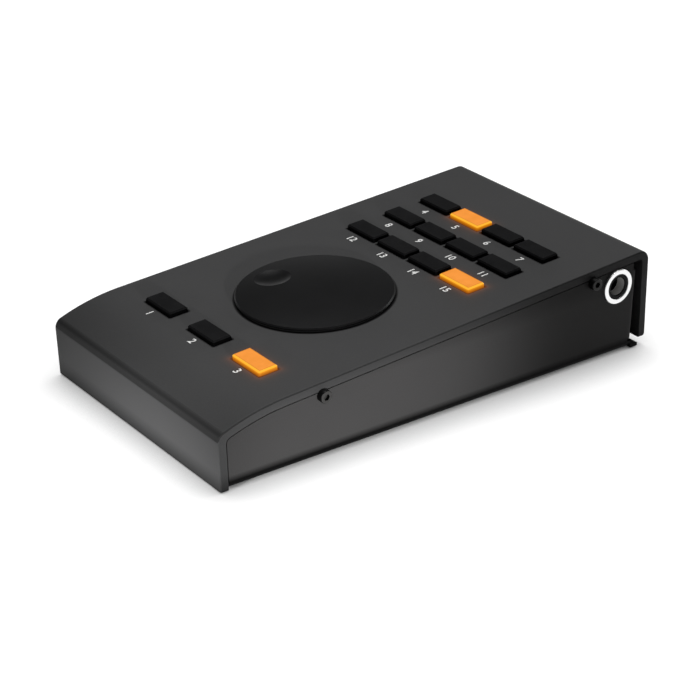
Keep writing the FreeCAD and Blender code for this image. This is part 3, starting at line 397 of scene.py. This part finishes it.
def circuit_board(name):
    """Green solder mask, lighter along its copper traces."""
    m = Nodes(name)
    brick = m.add("ShaderNodeTexBrick", offset=0.37, squash=0.6)
    brick.inputs["Scale"].default_value = 260.0
    brick.inputs["Mortar Size"].default_value = 0.012
    brick.inputs["Color1"].default_value = (0.012, 0.085, 0.03, 1)
    brick.inputs["Color2"].default_value = (0.010, 0.065, 0.024, 1)
    brick.inputs["Mortar"].default_value = (0.03, 0.16, 0.06, 1)
    m.link(m.place, brick.inputs["Vector"])
    m.link(brick.outputs["Color"], m.shader.inputs["Base Color"])
    cloud = m.noise(300.0)
    m.roughness(cloud, 0.25, 0.4)
    m.bump(brick.outputs["Fac"], 0.3, 0.00003)
    return m.material


# Turning marks on the wheel, for each millimetre of its radius
TURNED_RINGS = 9.0


def anodised(name, colour):
    """Satin black anodising on a turned face, with rings too fine to count."""
    m = Nodes(name)
    across, along, _ = m.on_slope(0, WHEEL_CENTRE)
    radius = m.root_of_squares(across, along)
    rings = m.noise(1.0, detail=3.0, place=m.as_vector(m.math("MULTIPLY", radius, TURNED_RINGS)))
    cloud = m.noise(60.0, detail=4.0)
    fine = m.noise(5000.0, detail=2.0)
    mixed = m.math("ADD", m.math("MULTIPLY", rings, 0.5), m.math("MULTIPLY", cloud, 0.5))
    face = m.ramp(mixed, [(0.25, scaled(colour, 0.85)), (0.75, scaled(colour, 1.15))])
    # Painted shade: the wheel's side is darker than its top face
    m.link(m.mix(m.spread(m.upward(), 0.0, 1.0, start=0.3, end=0.8), scaled(colour, 0.25), face),
           m.shader.inputs["Base Color"])
    m.roughness(cloud, 0.33, 0.38)
    first = m.bump(rings, 0.02, 0.00002)
    m.bump(fine, 0.03, 0.00002, first)
    m.set(Specular_IOR_Level=0.09)
    return m.material


def black_cap(name):
    """Satin black key cap, with painted shade that darkens it down its sides."""
    m = Nodes(name)
    cloud = m.noise(220.0, detail=3.0)
    top = m.ramp(cloud, [(0.25, (0.0058, 0.0058, 0.0062)), (0.75, (0.0084, 0.0084, 0.0089))])
    m.link(m.mix(m.spread(m.upward(), 0.0, 1.0, start=0.3, end=0.9), (0.0009, 0.0009, 0.0010), top),
           m.shader.inputs["Base Color"])
    m.roughness(cloud, 0.36, 0.5)
    m.bump(m.noise(4200.0, detail=2.0), 0.07, 0.00003)
    m.set(Specular_IOR_Level=0.03)
    return m.material


def lit_cap(name, key):
    """Translucent cap over a lamp: an even glow on top inside a fine dark line, a bright rim, and sides
    that darken downwards."""
    m = Nodes(name)
    cloud = m.noise(260.0, detail=4.0)
    m.bump(m.noise(4200.0, detail=2.0), 0.07, 0.00003)
    across, along, height = m.on_slope(*KEYS[key])
    side = m.ramp(m.spread(height, 0.0, 1.0, start=0.0, end=KEY_RISE), SIDE_GLOW)
    top = m.ramp(cloud, [(0.3, TOP_GLOW[0]), (0.7, TOP_GLOW[1])])
    inside = m.math("MINIMUM", m.math("SUBTRACT", KEY_WIDTH / 2, m.math("ABSOLUTE", across)),
                    m.math("SUBTRACT", KEY_DEPTH / 2, m.math("ABSOLUTE", along)))
    lined = m.mix(m.spread(inside, 0.0, 1.0, start=0.6, end=0.95), LINE_GLOW, top)
    upward = m.upward()
    with_rim = m.mix(m.spread(upward, 0.0, 1.0, start=0.2, end=0.5), side, RIM_GLOW)
    m.link(m.mix(m.spread(upward, 0.0, 1.0, start=0.85, end=0.97), with_rim, lined),
           m.shader.inputs["Emission Color"])
    m.colour(cloud, (0.09, 0.03, 0.005), (0.11, 0.037, 0.006))
    m.roughness(cloud, 0.32, 0.42)
    m.set(Emission_Strength=1.0, Specular_IOR_Level=0.25)
    return m.material


def screen_print(name):
    """White ink with a slightly uneven edge and body."""
    m = Nodes(name)
    cloud = m.noise(2500.0, detail=3.0)
    m.colour(cloud, (0.62, 0.62, 0.61), (0.80, 0.80, 0.79))
    m.roughness(cloud, 0.5, 0.65)
    m.bump(cloud, 0.1, 0.00001)
    return m.material


COVER = powder_coat("cover_coat", (0.0475, 0.0475, 0.048), COVER_BEND_SHADE, COVER_FOOT_SHADE, 0.07, windows=True)
TRAY = powder_coat("tray_coat", (0.047, 0.046, 0.046), TRAY_BEND_SHADE, TRAY_FOOT_SHADE, 0.04, roughness=(0.38, 0.5))
WHEEL = anodised("wheel_anodising", (0.0050, 0.0050, 0.0053))
KEY_DARK = black_cap("key_black")
BLACK_STEEL = black_screw("black_oxide")
ZINC = plated("zinc_plate", (0.56, 0.56, 0.57))
NICKEL = plated("nickel_plate", (0.66, 0.65, 0.62))
BRIGHT_RING = plated("bright_ring", (0.93, 0.93, 0.93), roughness=(0.3, 0.42))
CONTACT = plated("spring_metal", (0.5, 0.45, 0.4), roughness=(0.3, 0.45))
SLEEVE = plated("drawn_sleeve", (0.85, 0.84, 0.82), roughness=(0.3, 0.45), metallic=0.15)
BOARD = circuit_board("solder_mask")
CHIP = moulded("chip_epoxy", (0.02, 0.02, 0.021))
BLACK_PLASTIC = moulded("black_plastic", (0.006, 0.006, 0.0063), specular=0.06)
WHITE_PLASTIC = moulded("white_plastic", (0.6, 0.6, 0.57), roughness=(0.4, 0.55))
LAMP = moulded("lamp_epoxy", (0.75, 0.6, 0.25), roughness=(0.15, 0.25))
RIBBON = moulded("grey_ribbon", (0.32, 0.32, 0.33), roughness=(0.5, 0.65))
RUBBER = moulded("foot_rubber", (0.016, 0.016, 0.016), roughness=(0.7, 0.85), grain=3000.0, specular=0.25)
INK = screen_print("white_ink")

FINISHES = {
    "top_cover": COVER, "chassis": TRAY, "side_screws": BLACK_STEEL, "cover_blocks": ZINC,
    "control_board": BOARD, "board_spacers": NICKEL, "board_screws": NICKEL, "key_switches": BLACK_PLASTIC,
    "key_lamps": LAMP, "encoder_body": BLACK_PLASTIC, "encoder_nut": NICKEL, "encoder_shaft": NICKEL,
    "controller_chip": CHIP, "jack_body": BLACK_PLASTIC, "jack_contacts": CONTACT, "jack_sleeve": SLEEVE,
    "jack_nut": BRIGHT_RING,
    "inlet_board": BOARD, "inlet_shell": NICKEL, "inlet_core": WHITE_PLASTIC, "inlet_spacers": NICKEL,
    "inlet_screws": NICKEL, "link_plug_upper": WHITE_PLASTIC, "link_plug_lower": WHITE_PLASTIC,
    "link_cable": RIBBON, "rubber_feet": RUBBER, "jog_wheel": WHEEL,
}
for node_name, node in NODES.items():
    node.data.materials.clear()
    if node_name in LIT_KEYS:
        node.data.materials.append(lit_cap(f"amber_{node_name}", node_name))
    else:
        node.data.materials.append(KEY_DARK if node_name in KEYS else FINISHES[node_name])


# The jack's nut: a bright turned ring with rounded edges

NUT_FACE = 50.0
NUT_OUTSIDE = 6.4
NUT_INSIDE = 4.7
NUT_THICKNESS = 0.9
NUT_ROUND = 0.25
NUT_SEGMENTS = 96
CORNER_STEPS = 4


def ring_profile():
    """Distance from the axis and height over the panel, round the ring's section."""
    points = [(NUT_INSIDE, 0.0), (NUT_OUTSIDE, 0.0)]
    for edge, start in ((NUT_OUTSIDE - NUT_ROUND, 0), (NUT_INSIDE + NUT_ROUND, 90)):
        for step in range(CORNER_STEPS + 1):
            angle = math.radians(start + step * 90 / CORNER_STEPS)
            height = NUT_THICKNESS - NUT_ROUND * (1 - math.sin(angle))
            points.append((edge + NUT_ROUND * math.cos(angle), height))
    return points


def make_nut():
    profile = ring_profile()
    corners = []
    for segment in range(NUT_SEGMENTS):
        turn = 2 * math.pi * segment / NUT_SEGMENTS
        for radius, height in profile:
            corners.append(Vector((NUT_FACE + height, JACK_REACH + radius * math.cos(turn),
                                   JACK_HEIGHT + radius * math.sin(turn))) * MM)
    faces = []
    count = len(profile)
    for segment in range(NUT_SEGMENTS):
        here = segment * count
        there = (segment + 1) % NUT_SEGMENTS * count
        for index in range(count):
            following = (index + 1) % count
            faces.append((here + index, there + index, there + following, here + following))
    mesh = bpy.data.meshes.new("nut_ring")
    mesh.from_pydata(corners, [], faces)
    mesh.materials.append(BRIGHT_RING)
    for face in mesh.polygons:
        face.use_smooth = True
    ring = bpy.data.objects.new("nut_ring", mesh)
    bpy.context.scene.collection.objects.link(ring)
    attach(ring, "base")
    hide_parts("jack_nut")


make_nut()


# Numerals in front of the keys, printed on the cover

NUMERAL_HEIGHT = 3.1
FONT_SIZE = 1.35 * NUMERAL_HEIGHT
NUMERAL_BOLDNESS = 0.07
INK_HALF_THICKNESS = 0.005
NUMERAL_OFFSET = 7.6
FRONT_NUMERAL_OFFSET = 7.0
INK_LIFT = 0.015


def print_numeral(number, across, along):
    """A numeral as flat ink on the slope, with its middle at a place."""
    curve = bpy.data.curves.new(f"numeral_{number}", "FONT")
    curve.body = str(number)
    curve.size = FONT_SIZE * MM
    curve.offset = NUMERAL_BOLDNESS * MM
    curve.align_x = "CENTER"
    curve.align_y = "CENTER"
    curve.extrude = INK_HALF_THICKNESS * MM
    text = bpy.data.objects.new(f"numeral_{number}", curve)
    bpy.context.scene.collection.objects.link(text)
    bpy.context.view_layer.update()
    mesh = bpy.data.meshes.new_from_object(text.evaluated_get(bpy.context.evaluated_depsgraph_get()))
    bpy.data.objects.remove(text)
    piece = bpy.data.objects.new(f"numeral_{number}", mesh)
    mesh.transform(slope_matrix(across, along, INK_LIFT))
    mesh.materials.clear()
    mesh.materials.append(INK)
    bpy.context.scene.collection.objects.link(piece)
    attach(piece, "base")


for number, (across, along) in enumerate(KEYS.values(), start=1):
    offset = FRONT_NUMERAL_OFFSET if along == FRONT_ROW else NUMERAL_OFFSET
    print_numeral(number, across, along - offset)


# Floor, light and camera

# The floor's glow grows to full white between two distances from its middle, in metres
FLOOR_HALF_SIDE = 4.0
FLOOR_COLOUR = 0.40
FLOOR_GLOW = 0.76
FLOOR_GLOW_DISTANCES = (0.25, 1.2)
SHADOW_REACH = 0.022
SHADOW_SAMPLES = 6

# The world: its light on the object, and what its gloss shows between two heights (the sine of the elevation)
WORLD_LIGHT = 0.10
WHITE_BELOW = 0.08
DARK_ABOVE = 0.28
CEILING = 0.06

BEAM_SOFTNESS = 0.015
SENSOR_WIDTH = 36.0


def mapped(tree, source, from_range, to_range):
    """A value mapped from one range to another. The second range's end may be a socket."""
    node = tree.nodes.new("ShaderNodeMapRange")
    node.inputs["From Min"].default_value, node.inputs["From Max"].default_value = from_range
    tree.links.new(source, node.inputs["Value"])
    for name, value in zip(("To Min", "To Max"), to_range):
        if isinstance(value, (int, float)):
            node.inputs[name].default_value = value
        else:
            tree.links.new(value, node.inputs[name])
    return node.outputs["Result"]


def any_ray(tree, *kinds):
    """One for rays of these kinds, else nothing."""
    path = tree.nodes.new("ShaderNodeLightPath")
    result = path.outputs[kinds[0]]
    for kind in kinds[1:]:
        either = tree.nodes.new("ShaderNodeMath")
        either.operation = "MAXIMUM"
        tree.links.new(result, either.inputs[0])
        tree.links.new(path.outputs[kind], either.inputs[1])
        result = either.outputs["Value"]
    return result


def floor_material():
    """A pale floor that shows white where it is seen, keeps the object's shadow, and has a painted shadow in
    its glow near the object.
    """
    material = bpy.data.materials.new("floor_white")
    material.use_nodes = True
    tree = material.node_tree
    tree.nodes.clear()
    output = tree.nodes.new("ShaderNodeOutputMaterial")
    diffuse = tree.nodes.new("ShaderNodeBsdfDiffuse")
    diffuse.inputs["Color"].default_value = (FLOOR_COLOUR, FLOOR_COLOUR, FLOOR_COLOUR, 1)
    glow = tree.nodes.new("ShaderNodeEmission")
    place = tree.nodes.new("ShaderNodeTexCoord")
    distance = tree.nodes.new("ShaderNodeVectorMath")
    distance.operation = "LENGTH"
    tree.links.new(place.outputs["Object"], distance.inputs[0])
    strength = mapped(tree, distance.outputs["Value"], FLOOR_GLOW_DISTANCES, (FLOOR_GLOW, 1.0))
    seen = any_ray(tree, "Is Camera Ray", "Is Glossy Ray", "Is Transmission Ray")
    tree.links.new(mapped(tree, seen, (0.0, 1.0), (0.0, strength)), glow.inputs["Strength"])
    # Painted shadow: the floor's glow darkens where the object is near
    painted_shadow = tree.nodes.new("ShaderNodeAmbientOcclusion")
    painted_shadow.samples = SHADOW_SAMPLES
    painted_shadow.inputs["Distance"].default_value = SHADOW_REACH
    tree.links.new(painted_shadow.outputs["Color"], glow.inputs["Color"])
    both = tree.nodes.new("ShaderNodeAddShader")
    tree.links.new(diffuse.outputs["BSDF"], both.inputs[0])
    tree.links.new(glow.outputs["Emission"], both.inputs[1])
    tree.links.new(both.outputs["Shader"], output.inputs["Surface"])
    return material


def make_floor():
    mesh = bpy.data.meshes.new("floor")
    corners = [(x * FLOOR_HALF_SIDE, y * FLOOR_HALF_SIDE, 0) for x, y in ((-1, -1), (1, -1), (1, 1), (-1, 1))]
    mesh.from_pydata(corners, [], [(0, 1, 2, 3)])
    mesh.materials.append(floor_material())
    floor = bpy.data.objects.new("floor", mesh)
    bpy.context.scene.collection.objects.link(floor)


def add_lamp(name, kind, place, target, watts):
    """A lamp that stands at a place and looks at a target."""
    lamp = bpy.data.lights.new(name, kind)
    lamp.energy = watts
    item = bpy.data.objects.new(name, lamp)
    item.location = place
    item.rotation_euler = (Vector(target) - Vector(place)).to_track_quat("-Z", "Y").to_euler()
    bpy.context.scene.collection.objects.link(item)
    return lamp


def soft_light(name, place, target, side, watts):
    """A square soft box."""
    lamp = add_lamp(name, "AREA", place, target, watts)
    lamp.size = side


def soft_beam(name, place, target, width, watts):
    """A low beam whose edge fades all the way to its middle. Its width is in degrees."""
    lamp = add_lamp(name, "SPOT", place, target, watts)
    lamp.spot_size = math.radians(width)
    lamp.spot_blend = 1.0
    lamp.shadow_soft_size = BEAM_SOFTNESS


def make_world():
    """White to the camera. In the object's gloss it is white near the horizon and darker overhead."""
    world = bpy.data.worlds.new("studio")
    bpy.context.scene.world = world
    world.use_nodes = True
    tree = world.node_tree
    background = tree.nodes["Background"]
    background.inputs["Color"].default_value = (1, 1, 1, 1)
    direction = tree.nodes.new("ShaderNodeTexCoord")
    split = tree.nodes.new("ShaderNodeSeparateXYZ")
    tree.links.new(direction.outputs["Generated"], split.inputs["Vector"])
    sky = mapped(tree, split.outputs["Z"], (WHITE_BELOW, DARK_ABOVE), (1.0, CEILING))
    mirrored = any_ray(tree, "Is Glossy Ray", "Is Transmission Ray")
    strength = mapped(tree, mirrored, (0.0, 1.0), (WORLD_LIGHT, sky))
    white = mapped(tree, any_ray(tree, "Is Camera Ray"), (0.0, 1.0), (strength, 1.0))
    tree.links.new(white, background.inputs["Strength"])


def place_camera():
    """The camera stands off to the front right and looks at the body's middle."""
    across = math.cos(CAMERA_ELEVATION)
    forward = -Vector((math.sin(CAMERA_AZIMUTH) * across, -math.cos(CAMERA_AZIMUTH) * across,
                       math.sin(CAMERA_ELEVATION)))
    right = forward.cross(Vector((0, 0, 1))).normalized()
    down = forward.cross(right)
    cos_roll, sin_roll = math.cos(CAMERA_ROLL), math.sin(CAMERA_ROLL)
    right, down = cos_roll * right - sin_roll * down, sin_roll * right + cos_roll * down
    aim = right * AIM_RIGHT - down * AIM_UP + Vector((0, 0, AIM_LEVEL))
    place = (aim - forward * CAMERA_DISTANCE) * MM
    data = bpy.data.cameras.new("camera")
    data.sensor_width = SENSOR_WIDTH
    data.lens = data.sensor_width * FOCAL_PIXELS / PHOTO_SIZE
    data.shift_x = (PHOTO_SIZE / 2 - CENTRE_PIXEL[0]) / PHOTO_SIZE
    data.shift_y = (CENTRE_PIXEL[1] - PHOTO_SIZE / 2) / PHOTO_SIZE
    camera = bpy.data.objects.new("camera", data)
    axes = Matrix((right, -down, -forward)).transposed().to_4x4()
    camera.matrix_world = Matrix.Translation(place) @ axes
    bpy.context.scene.collection.objects.link(camera)
    bpy.context.scene.camera = camera


make_floor()
make_world()
soft_light("overhead_light", (-0.26, 0.20, 1.30), (0, 0, 0), 0.9, 16)
soft_light("rear_light", (0.15, 1.3, 0.45), (0, 0, 0), 0.5, 4)
soft_beam("right_beam", (0.80, -0.25, 0.12), (0.05, -0.036, 0.018), 11.6, 32)
soft_beam("front_beam", (0.22, -0.82, 0.09), (0.014, -0.09, -0.062), 15.0, 97)
place_camera()
bpy.context.scene.view_settings.view_transform = "Standard"
